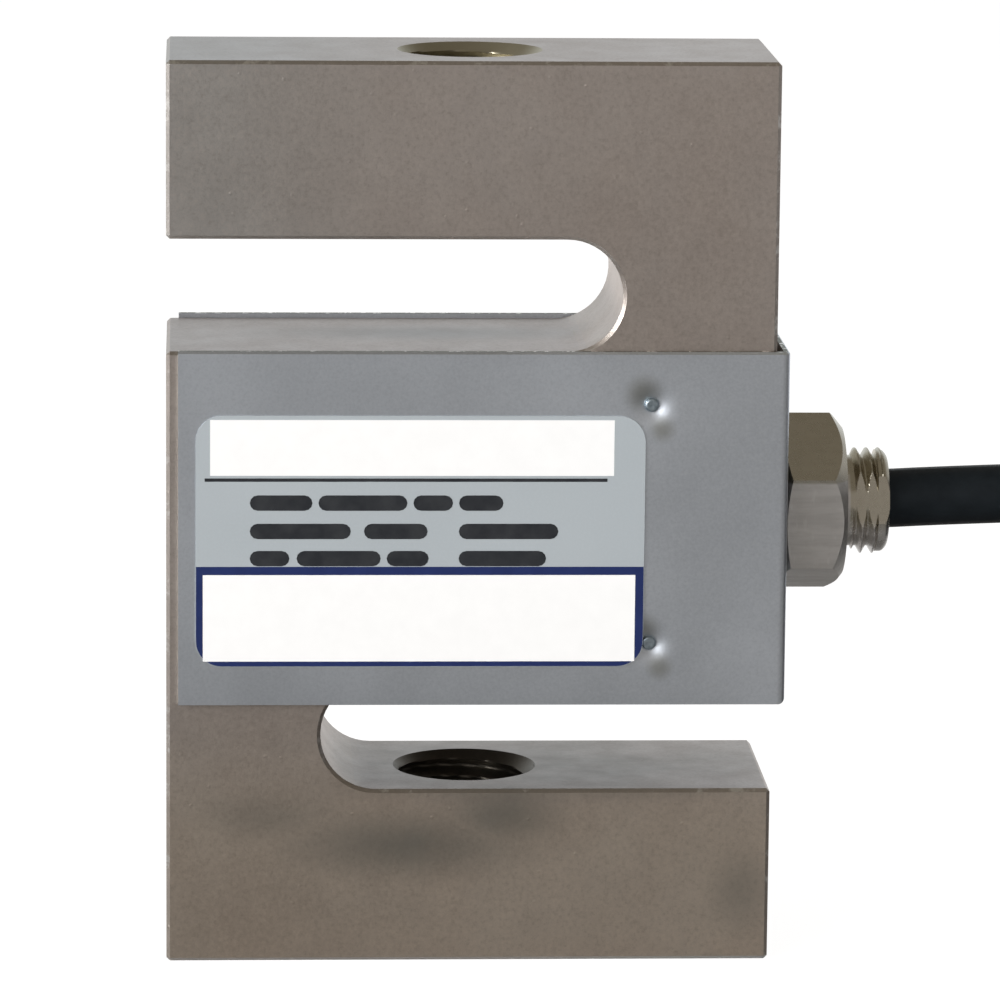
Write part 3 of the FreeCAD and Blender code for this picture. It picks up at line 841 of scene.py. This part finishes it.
class Finish(Nodes):
    """One principled shader and the nodes that vary it over the surface."""

    def __init__(self, name, **sockets):
        self.material = bpy.data.materials.new(name)
        self.material.use_nodes = True
        super().__init__(self.material.node_tree)
        self.shader = self.add("ShaderNodeBsdfPrincipled", **sockets)
        self.add("ShaderNodeOutputMaterial", Surface=self.shader.outputs["BSDF"])
        self.place = self.add("ShaderNodeTexCoord").outputs["Object"]
        self.normal = self.add("ShaderNodeNewGeometry").outputs["True Normal"]
        self.height = None

    def axes(self, vector=None):
        return self.add("ShaderNodeSeparateXYZ", Vector=vector or self.place).outputs

    def stretched(self, stretch=(1, 1, 1), shift=(0, 0, 0)):
        return self.add("ShaderNodeMapping", Vector=self.place, Scale=stretch,
                        Location=shift).outputs["Vector"]

    def noise(self, per_mm, detail=3.0, rough=0.55, stretch=(1, 1, 1), shift=(0, 0, 0)):
        return self.add("ShaderNodeTexNoise", Vector=self.stretched(stretch, shift),
                        Scale=per_mm / MM, Detail=detail, Roughness=rough).outputs["Fac"]

    def specks(self, per_mm, low, high):
        """Small scattered spots: 1 in the spots and 0 between them."""
        node = self.add("ShaderNodeTexVoronoi", Vector=self.stretched(), Scale=per_mm / MM)
        return self.span(node.outputs["Distance"], low, high, 1, 0)

    def near(self, centre, radii, soft=0.0):
        """1 at a place (mm) fading to 0 at an ellipsoid round it."""
        node = self.tree.nodes.new("ShaderNodeMapping")
        node.vector_type = "TEXTURE"
        self.feed(node, "Vector", self.place)
        self.feed(node, "Location", [value * MM for value in centre])
        self.feed(node, "Scale", [value * MM for value in radii])
        length = self.tree.nodes.new("ShaderNodeVectorMath")
        length.operation = "LENGTH"
        self.feed(length, 0, node.outputs["Vector"])
        return self.span(length.outputs["Value"], soft, 1, 1, 0, smooth=True)

    def lit_rightward(self, colour, left, right):
        """A colour times a level that runs from the left arm's side to the right: painted light,
        brighter to the right to even out the key lamp's fall-off.
        """
        level = self.span(self.axes()["X"], *LIT_RIGHTWARD_SPAN, left, right)
        grey = self.add("ShaderNodeCombineColor", Red=level, Green=level, Blue=level)
        return self.blend(1.0, colour, grey.outputs["Color"], "MULTIPLY")

    def colour(self, value):
        self.feed(self.shader, "Base Color", tinted(value))

    def rough(self, value):
        self.feed(self.shader, "Roughness", value)

    def bump(self, value, depth_mm, strength=1.0):
        """Relief of a given depth; called again, the reliefs add up."""
        node = self.add("ShaderNodeBump", Strength=strength, Distance=depth_mm * MM, Height=value)
        if self.height is not None:
            self.feed(node, "Normal", self.height)
        self.height = node.outputs["Normal"]
        for link in list(self.shader.inputs["Normal"].links):
            self.tree.links.remove(link)
        self.feed(self.shader, "Normal", self.height)


BARE_STEEL = (0.52, 0.455, 0.415)
BARE_STEEL_LIGHT = (0.565, 0.51, 0.475)
# Dark patches low on the front: a painted dark reflection.
DARK_REFLECTION_PATCHES = (
    ((-5, -9.5, 10), (14, 3, 4.0), 1.0),
    ((-17, -9.5, 12.5), (8, 3, 3), 0.5),
    ((3, -9.5, 12.6), (7, 3, 3.8), 1.0),
    ((23, -9.5, 6), (4, 3, 5), 0.6),
)
DARK_REFLECTION_COLOUR = (0.285, 0.27, 0.24)
SMUDGE_COLOUR = (0.31, 0.315, 0.32)
# Painted shade for the lower slot.
SLOT_SHADE_COLOUR = (0.22, 0.21, 0.195)
# Bore walls darkened as painted shade: yellowish in the upper bore, near black in the lower one.
LOWER_BORE_SHADE = (0.13, 0.12, 0.10)
UPPER_BORE_SHADE = (0.40, 0.37, 0.27)
# Painted shade, glints and reflection on the broken edges.
EDGE_SHADE_COLOUR = (0.42, 0.39, 0.36)
WORN_AND_GLINT_COLOUR = (0.90, 0.88, 0.85)
UNDER_EDGE_REFLECTION_COLOUR = (0.95, 0.91, 0.88)


def body_finish():
    """Satin nickel plate on ground steel: faintly mottled, with worn broken edges, and painted
    light and shade: a dark reflection on the front, shade in the lower slot and bores, cooler
    tops, glints and reflection on the edges, and brightening to the right.
    """
    made = Finish("satin_nickel", Metallic=1.0)
    x, _, z = made.axes()
    facing = made.axes(made.normal)
    slant = made.size_of(facing["Y"])
    cloud = made.noise(0.35, 4, 0.6, shift=(0.3, 0, 0))
    grain = made.noise(3.2, 3, 0.7)

    # Mottling, cooler at the top left, and front faces warmer towards the foot.
    steel = made.blend(made.span(made.noise(0.07, 3, 0.5), *EVEN), BARE_STEEL, BARE_STEEL_LIGHT)
    steel = made.blend(made.span(cloud, 0.4, 0.65, 0, 0.2), steel, (0.45, 0.39, 0.345))
    cool = made.times(made.span(x, -0.004, -0.023, smooth=True),
                      made.span(z, 0.050, 0.062, smooth=True))
    steel = made.blend(made.times(cool, 0.5), steel, (0.52, 0.535, 0.53))
    steel = made.blend(made.span(grain, 0.46, 0.70, 0, 0.4), steel, (0.68, 0.61, 0.56))
    steel = made.blend(made.span(grain, 0.30, 0.46, 0.4, 0), steel, (0.38, 0.33, 0.29))
    foot = made.times(made.span(z, 0.024, 0.010, smooth=True), made.span(slant, 0.5, 0.9))
    steel = made.blend(foot, steel, (1.09, 1.055, 0.97), "MULTIPLY")

    # A painted dark reflection low on the front, a smudge on the top, painted shade in the lower
    # slot, and bore walls darkened as painted shade, yellowish in the upper bore and near black
    # in the lower one.
    dark_reflection = 0.0
    for centre, radii, share in DARK_REFLECTION_PATCHES:
        dark_reflection = made.most(dark_reflection, made.times(made.near(centre, radii), share))
    dark_reflection = made.times(dark_reflection, made.span(cloud, *WIDE, 0.65, 0.9))
    # Painted dark reflection laid over the front.
    steel = made.blend(dark_reflection, steel, DARK_REFLECTION_COLOUR)
    # Upward faces tinted cooler: a painted reflection of the bright room above.
    level = made.span(facing["Z"], 0.9, 0.99)
    steel = made.blend(level, steel, (0.96, 0.985, 1.03), "MULTIPLY")
    smudge = made.near((-3, 1, 52), (21, 6, 2))
    steel = made.blend(made.times(smudge, 0.6), steel, SMUDGE_COLOUR)
    # Painted shade in and around the lower slot, uneven along it.
    uneven = made.span(made.noise(0.16, 4, 0.6, stretch=(0.5, 1, 1)), 0.35, 0.7, 0.3, 0.8)
    dull = made.times(made.near((6, 0, 15), (30, 16, 2.4), 0.3), uneven)
    steel = made.blend(dull, steel, SLOT_SHADE_COLOUR)
    # Painted shade darkens the bore walls, near black in the lower bore.
    bore = made.times(made.span(made.size_of(facing["Z"]), 0.97, 0.93),
                      made.near((0, 0, 38), (9.3, 9.3, 90), 0.97))
    bore_shade = made.blend(made.span(z, 0.030, 0.020), UPPER_BORE_SHADE, LOWER_BORE_SHADE)
    steel = made.blend(made.times(bore, 0.9), steel, bore_shade)

    # Broken edges: a darker band of painted shade, bright in places with wear and painted glints,
    # and lit along their underside by a painted reflection.
    edge = made.times(made.span(slant, 0.3, 0.5), made.span(slant, 0.97, 0.9))
    edge = made.times(edge, made.span(bore, 0.5, 0.1))
    worn_and_glint = made.times(edge, made.span(made.noise(0.7, 3, 0.7), 0.54, 0.68, 0, 0.7))
    # Painted shade on the chamfers, then painted glints among the worn spots.
    steel = made.blend(made.times(edge, 0.4), steel, EDGE_SHADE_COLOUR)
    steel = made.blend(worn_and_glint, steel, WORN_AND_GLINT_COLOUR)
    # Painted reflection brightens the chamfers' undersides.
    under = made.times(edge, made.span(facing["Z"], -0.3, -0.6))
    steel = made.blend(under, steel, UNDER_EDGE_REFLECTION_COLOUR)
    # Painted light: the nickel brightens towards the right.
    made.colour(made.lit_rightward(steel, 1.0, 1.13))

    roughness = made.span(cloud, *WIDE, 0.38, 0.44)
    made.rough(made.math("SUBTRACT", roughness, made.times(worn_and_glint, 0.08)))
    made.bump(grain, 0.02, 0.5)
    made.bump(made.noise(0.8, 4, 0.6), 0.03, 0.25)
    made.bump(made.specks(0.55, 0.02, 0.10), 0.03, 0.5)
    return made.material


def cover_finish():
    """Thin stainless sheet, matt and cool, with raw sheared edges, painted shade round the
    dimples, and painted shade and glints on its cut edges.
    """
    made = Finish("cover_stainless", Metallic=1.0)
    facing = made.axes(made.normal)
    broad = made.noise(0.07, 3, 0.5)
    fine = made.noise(4.0, 2, 0.6)
    sheet = made.blend(made.span(broad, *EVEN), (0.665, 0.71, 0.775), (0.705, 0.75, 0.815))
    sheet = made.blend(made.span(fine, 0.5, 0.72, 0, 0.35), sheet, (0.80, 0.84, 0.90))
    sheet = made.blend(made.span(fine, 0.3, 0.48, 0.3, 0), sheet, (0.56, 0.60, 0.655))
    # Painted shade of the dimple walls: dark zones up-left and down-right of each pin.
    ring = 0.0
    for pin_z in PIN_HEIGHTS.values():
        for shift_x, shift_z, reach in ((-0.7, 1.0, 2.1), (0.9, -2.0, 1.5)):
            place = (PIN_X / MM + shift_x, -10.2, pin_z / MM + shift_z)
            ring = made.most(ring, made.near(place, (reach, 2, reach), 0.1))
    sheet = made.blend(made.times(ring, 0.62), sheet, (0.34, 0.345, 0.31))
    # Cut edges: a dark line of painted shade with painted glints along it.
    shade_glint_pattern = made.noise(1.6, 2, 0.7)
    cut_edge_shade_and_glints = made.blend(made.span(shade_glint_pattern, 0.56, 0.62), (0.13, 0.135, 0.11), (0.95, 0.95, 0.92))
    sheet = made.blend(made.span(made.size_of(facing["Z"]), 0.8, 0.95), sheet, cut_edge_shade_and_glints)
    # The left cut edge painted bright as a highlight.
    sheet = made.blend(made.span(facing["X"], -0.8, -0.95), sheet, (0.97, 0.97, 0.95))
    # Painted light: the sheet brightens towards the right.
    made.colour(made.lit_rightward(sheet, 0.96, 1.16))
    made.rough(made.span(broad, *WIDE, 0.38, 0.46))
    made.bump(fine, 0.012, 0.4)
    made.bump(made.noise(0.05, 2, 0.4), 0.25, 0.12)
    return made.material


def gland_finish():
    """Nickel over brass: grey on the hexagon's front, olive where it tarnished."""
    made = Finish("plated_brass", Metallic=1.0)
    x, _, z = made.axes()
    drawn = made.noise(1.4, 3, 0.6, stretch=(0.12, 1, 1))
    scratch = made.noise(2.2, 3, 0.7, stretch=(1, 1, 0.15))
    spots = made.noise(1.1, 4, 0.7)
    plate = made.blend(made.span(drawn, *EVEN), (0.80, 0.775, 0.755), (0.93, 0.905, 0.885))
    plate = made.blend(made.span(scratch, 0.58, 0.7, 0, 0.6), plate, (1.0, 0.98, 0.96))
    plate = made.blend(made.span(spots, 0.5, 0.75, 0, 0.3), plate, (0.70, 0.67, 0.63))
    above = made.span(z, GLAND_Z + 2.6 * MM, GLAND_Z + 2.8 * MM)
    stub = made.span(x, STUB_START + 0.5 * UNDERCUT, STUB_START + 0.7 * UNDERCUT)
    flat = made.times(stub, made.span(z, GLAND_Z - 2.2 * MM, GLAND_Z - 1.0 * MM))
    dull = made.most(made.times(above, 0.75), made.times(flat, 0.85))
    tarnish = made.blend(made.span(spots, *EVEN), (0.50, 0.46, 0.36), (0.56, 0.515, 0.41))
    plate = made.blend(dull, plate, tarnish)
    made.colour(plate)
    sheen = made.most(above, stub)
    soft = made.span(spots, *WIDE, 0.42, 0.48)
    made.rough(made.math("SUBTRACT", soft, made.times(sheen, 0.17)))
    made.bump(drawn, 0.02, 0.35)
    made.bump(spots, 0.02, 0.25)
    return made.material


def pin_finish():
    made = Finish("pin_steel", Metallic=1.0)
    flecks = made.noise(3.5, 3, 0.6)
    made.colour(made.blend(made.span(flecks, *EVEN), (0.33, 0.41, 0.47), (0.50, 0.58, 0.64)))
    made.rough(made.span(flecks, *WIDE, 0.34, 0.46))
    made.bump(flecks, 0.02, 0.4)
    return made.material


def foil_finish():
    """Printed silver polyester: pale, cool, almost even."""
    made = Finish("silver_foil", Metallic=0.15, Coat_Weight=0.15, Coat_Roughness=0.25)
    grain = made.noise(5.0, 2, 0.6)
    wide = made.noise(0.09, 2, 0.5)
    foil = made.blend(made.span(wide, *EVEN), (0.425, 0.468, 0.498), (0.445, 0.488, 0.518))
    foil = made.blend(made.span(grain, 0.45, 0.75, 0, 0.25), foil, (0.51, 0.555, 0.585))
    made.colour(foil)
    made.rough(made.span(grain, *WIDE, 0.40, 0.48))
    made.bump(grain, 0.004, 0.4)
    return made.material


def ink_finish(name, light, dark, roughness=0.45):
    made = Finish(name, Specular_IOR_Level=0.35)
    grain = made.noise(6.0, 2, 0.6)
    patch = made.noise(0.5, 3, 0.6)
    made.colour(made.blend(made.span(patch, *EVEN), dark, light))
    made.rough(made.span(grain, *WIDE, roughness - 0.04, roughness + 0.05))
    made.bump(grain, 0.004, 0.4)
    return made.material


def rubber_finish(name, light, dark, low=0.5, high=0.65, relief=0.03, gloss=0.4):
    made = Finish(name, Specular_IOR_Level=gloss)
    grain = made.noise(2.6, 3, 0.65)
    dust = made.noise(0.35, 4, 0.65)
    tone = made.blend(made.span(dust, 0.4, 0.7), dark, light)
    made.colour(made.blend(made.span(grain, 0.55, 0.8, 0, 0.4), tone, light))
    made.rough(made.span(grain, *WIDE, low, high))
    made.bump(grain, relief, 0.35)
    return made.material


def board_finish():
    made = Finish("board_green", Specular_IOR_Level=0.5)
    weave = made.noise(1.5, 2, 0.5, stretch=(1, 1, 0.3))
    made.colour(made.blend(made.span(weave, 0.4, 0.6), (0.012, 0.10, 0.04), (0.02, 0.15, 0.06)))
    made.rough(made.span(weave, *WIDE, 0.3, 0.42))
    made.bump(weave, 0.02, 0.4)
    return made.material


def copper_finish():
    made = Finish("tinned_copper", Metallic=1.0)
    lay = made.noise(2.0, 2, 0.6, stretch=(0.4, 1, 1))
    made.colour(made.blend(made.span(lay, *EVEN), (0.55, 0.53, 0.50), (0.75, 0.73, 0.70)))
    made.rough(made.span(lay, *WIDE, 0.25, 0.38))
    made.bump(lay, 0.03, 0.5)
    return made.material


def dress(piece, material):
    piece.data.materials.clear()
    piece.data.materials.append(material)


def dress_nodes(material, *nodes):
    for node in nodes:
        holder = frame["nodes"][node]
        if not holder.material_slots:
            holder.data.materials.append(material)
        for place in holder.material_slots:
            place.material = material


# ---- Floor, backdrop and light ----
FLOOR_TINT = (0.27, 0.268, 0.265, 1)
FLOOR_LIFT = 0.92
FLOOR_RISE = (0.0, 0.16)
FLOOR_NEAR = -0.9
FLOOR_FAR = 1.6
FLOOR_HALF = 1.2
ROOM_FRONT = (0.335, 0.315, 0.296)
ROOM_BACK = (0.81, 0.85, 0.87)
ROOM_RIGHT = (0.075, 0.075, 0.08)
ROOM_CEILING = (0.20, 0.18, 0.145)


def floor():
    """A pale sheet under and behind the part that keeps the part's soft shadow.

    Its colour is lifted to white for the camera, and towards the back for rays
    by way of metal or glass as well.
    """
    corners = rectangle(-FLOOR_HALF, FLOOR_NEAR, FLOOR_HALF, FLOOR_FAR)
    mesh = mesh_from("floor", [(x, y, 0) for x, y in corners], [(0, 1, 2, 3)])
    piece = bpy.data.objects.new("floor", mesh)
    bpy.context.scene.collection.objects.link(piece)
    material = bpy.data.materials.new("floor_white")
    material.use_nodes = True
    nodes = Nodes(material.node_tree)
    paper = nodes.add("ShaderNodeBsdfDiffuse", Color=FLOOR_TINT)
    path = nodes.add("ShaderNodeLightPath").outputs
    place = nodes.add("ShaderNodeTexCoord").outputs["Object"]
    depth = nodes.add("ShaderNodeSeparateXYZ", Vector=place).outputs["Y"]
    mirrored = nodes.most(path["Is Glossy Ray"], path["Is Transmission Ray"])
    mirrored = nodes.times(mirrored, nodes.span(depth, *FLOOR_RISE, smooth=True))
    seen = nodes.most(path["Is Camera Ray"], mirrored)
    glow = nodes.add("ShaderNodeEmission", Strength=nodes.times(seen, FLOOR_LIFT))
    both = nodes.tree.nodes.new("ShaderNodeAddShader")
    nodes.feed(both, 0, paper.outputs[0])
    nodes.feed(both, 1, glow.outputs[0])
    nodes.add("ShaderNodeOutputMaterial", Surface=both.outputs[0])
    mesh.materials.append(material)


def world():
    """White to the camera; a room that is bright behind and dimmer elsewhere."""
    made = bpy.data.worlds.new("studio")
    bpy.context.scene.world = made
    made.use_nodes = True
    nodes = Nodes(made.node_tree)
    direction = nodes.add("ShaderNodeTexCoord").outputs["Generated"]
    split = nodes.add("ShaderNodeSeparateXYZ", Vector=direction).outputs
    aside = nodes.span(nodes.size_of(split["X"]), 0.30, 0.75, 1.0, 0.30, smooth=True)
    behind = nodes.times(nodes.span(split["Y"], -0.15, 0.55, smooth=True), aside)
    level = nodes.blend(behind, ROOM_FRONT, ROOM_BACK)
    level = nodes.blend(nodes.span(split["X"], 0.85, 0.99, smooth=True), level, ROOM_RIGHT)
    tint = nodes.blend(nodes.span(split["Z"], 0.28, 0.7, smooth=True), level, ROOM_CEILING)
    room = nodes.add("ShaderNodeBackground", Color=tint)
    white = nodes.add("ShaderNodeBackground", Color=(1, 1, 1, 1))
    choose = nodes.tree.nodes.new("ShaderNodeMixShader")
    nodes.feed(choose, 0, nodes.add("ShaderNodeLightPath").outputs["Is Camera Ray"])
    nodes.feed(choose, 1, room.outputs[0])
    nodes.feed(choose, 2, white.outputs[0])
    nodes.add("ShaderNodeOutputWorld", Surface=choose.outputs[0])


LIGHT_AIM = Vector((0, 0, 0.04))


def softbox(name, place, size, power, glossy=True):
    """A square lamp turned to the part; glossy says if metal mirrors it."""
    data = bpy.data.lights.new(name, "AREA")
    data.shape = "SQUARE"
    data.size = size
    data.energy = power
    piece = bpy.data.objects.new(name, data)
    piece.visible_glossy = glossy
    bpy.context.scene.collection.objects.link(piece)
    direction = LIGHT_AIM - Vector(place)
    piece.matrix_world = (Matrix.Translation(place)
                          @ direction.to_track_quat("-Z", "Y").to_matrix().to_4x4())


def lights():
    softbox("key", (-0.55, -0.78, 0.32), 0.32, 1.6)
    softbox("fill", (-0.85, -0.42, 0.33), 0.4, 9.0)
    softbox("print_light", (0.60, -0.75, 0.25), 0.3, 4.5, glossy=False)


# ---- The dressed part ----
camera()
steel = body_finish()
sheet = cover_finish()
plated = gland_finish()
foil = foil_finish()
jacket = rubber_finish("cable_pvc", (0.010, 0.0135, 0.0165), (0.006, 0.0085, 0.011),
                       0.46, 0.58, 0.02, 0.2)
black = rubber_finish("moulded_black", (0.03, 0.03, 0.03), (0.016, 0.016, 0.016))

line = cable(jacket)
loose_ends = []
for side_name, direction in (("left", -1), ("right", 1)):
    for piece in coil_tie(side_name, direction):
        dress(piece, black)
        loose_ends.append(piece)
shrink = sleeve()
dress(shrink, black)
CORE_COLOURS = {
    "red": ((0.42, 0.02, 0.015), (0.30, 0.012, 0.01)),
    "green": ((0.02, 0.22, 0.05), (0.012, 0.15, 0.035)),
    "white": ((0.72, 0.71, 0.68), (0.60, 0.59, 0.56)),
    "black": ((0.03, 0.03, 0.03), (0.015, 0.015, 0.015)),
}
core_finish = {name: rubber_finish("core_" + name, *pair, 0.35, 0.45, 0.01)
               for name, pair in CORE_COLOURS.items()}
tinned = copper_finish()
loose_ends += end_wires(core_finish, tinned)

block = body()
dress(block, steel)
for level, low_z in BORE_STARTS.items():
    dress(bore_thread("thread_" + level, low_z), steel)
for piece in gland():
    dress(piece, plated)

printed = label_print()
blue = ink_finish("print_blue", (0.014, 0.026, 0.110), (0.011, 0.021, 0.092))
paper = ink_finish("print_white", (0.93, 0.93, 0.93), (0.91, 0.91, 0.91), 0.6)
ink = ink_finish("print_black", (0.030, 0.032, 0.036), (0.016, 0.018, 0.022))
dress(printed["band"], blue)
for piece in printed["blanks"]:
    dress(piece, paper)
for piece in printed["ink"]:
    dress(piece, ink)

for piece in cover():
    dress(piece, sheet)
pin_steel = pin_finish()
for face, side in (("front", -1), ("rear", 1)):
    for level in PIN_HEIGHTS:
        dress(pin(face, level, side), pin_steel)
dress_nodes(foil, "rating_label")
dress_nodes(black, "gland_seal", "cable_grommet")
dress_nodes(board_finish(), "bridge_board")
dress_nodes(ink_finish("chip_black", (0.03, 0.03, 0.03), (0.015, 0.015, 0.015)),
            "span_resistor", "zero_resistor")
dress_nodes(rubber_finish("sealant", (0.72, 0.72, 0.70), (0.62, 0.62, 0.60)),
            "sealant_front", "sealant_rear")
gauge = copper_finish()
for side_name in ("left", "right"):
    for level in ("upper", "lower"):
        dress_nodes(gauge, "strain_gauge_" + side_name + "_" + level)
        dress_nodes(tinned, "gauge_lead_" + side_name + "_" + level)
for name, made in core_finish.items():
    dress_nodes(made, "inner_core_" + name)

floor()
world()
lights()

bpy.context.scene.view_settings.view_transform = "Standard"
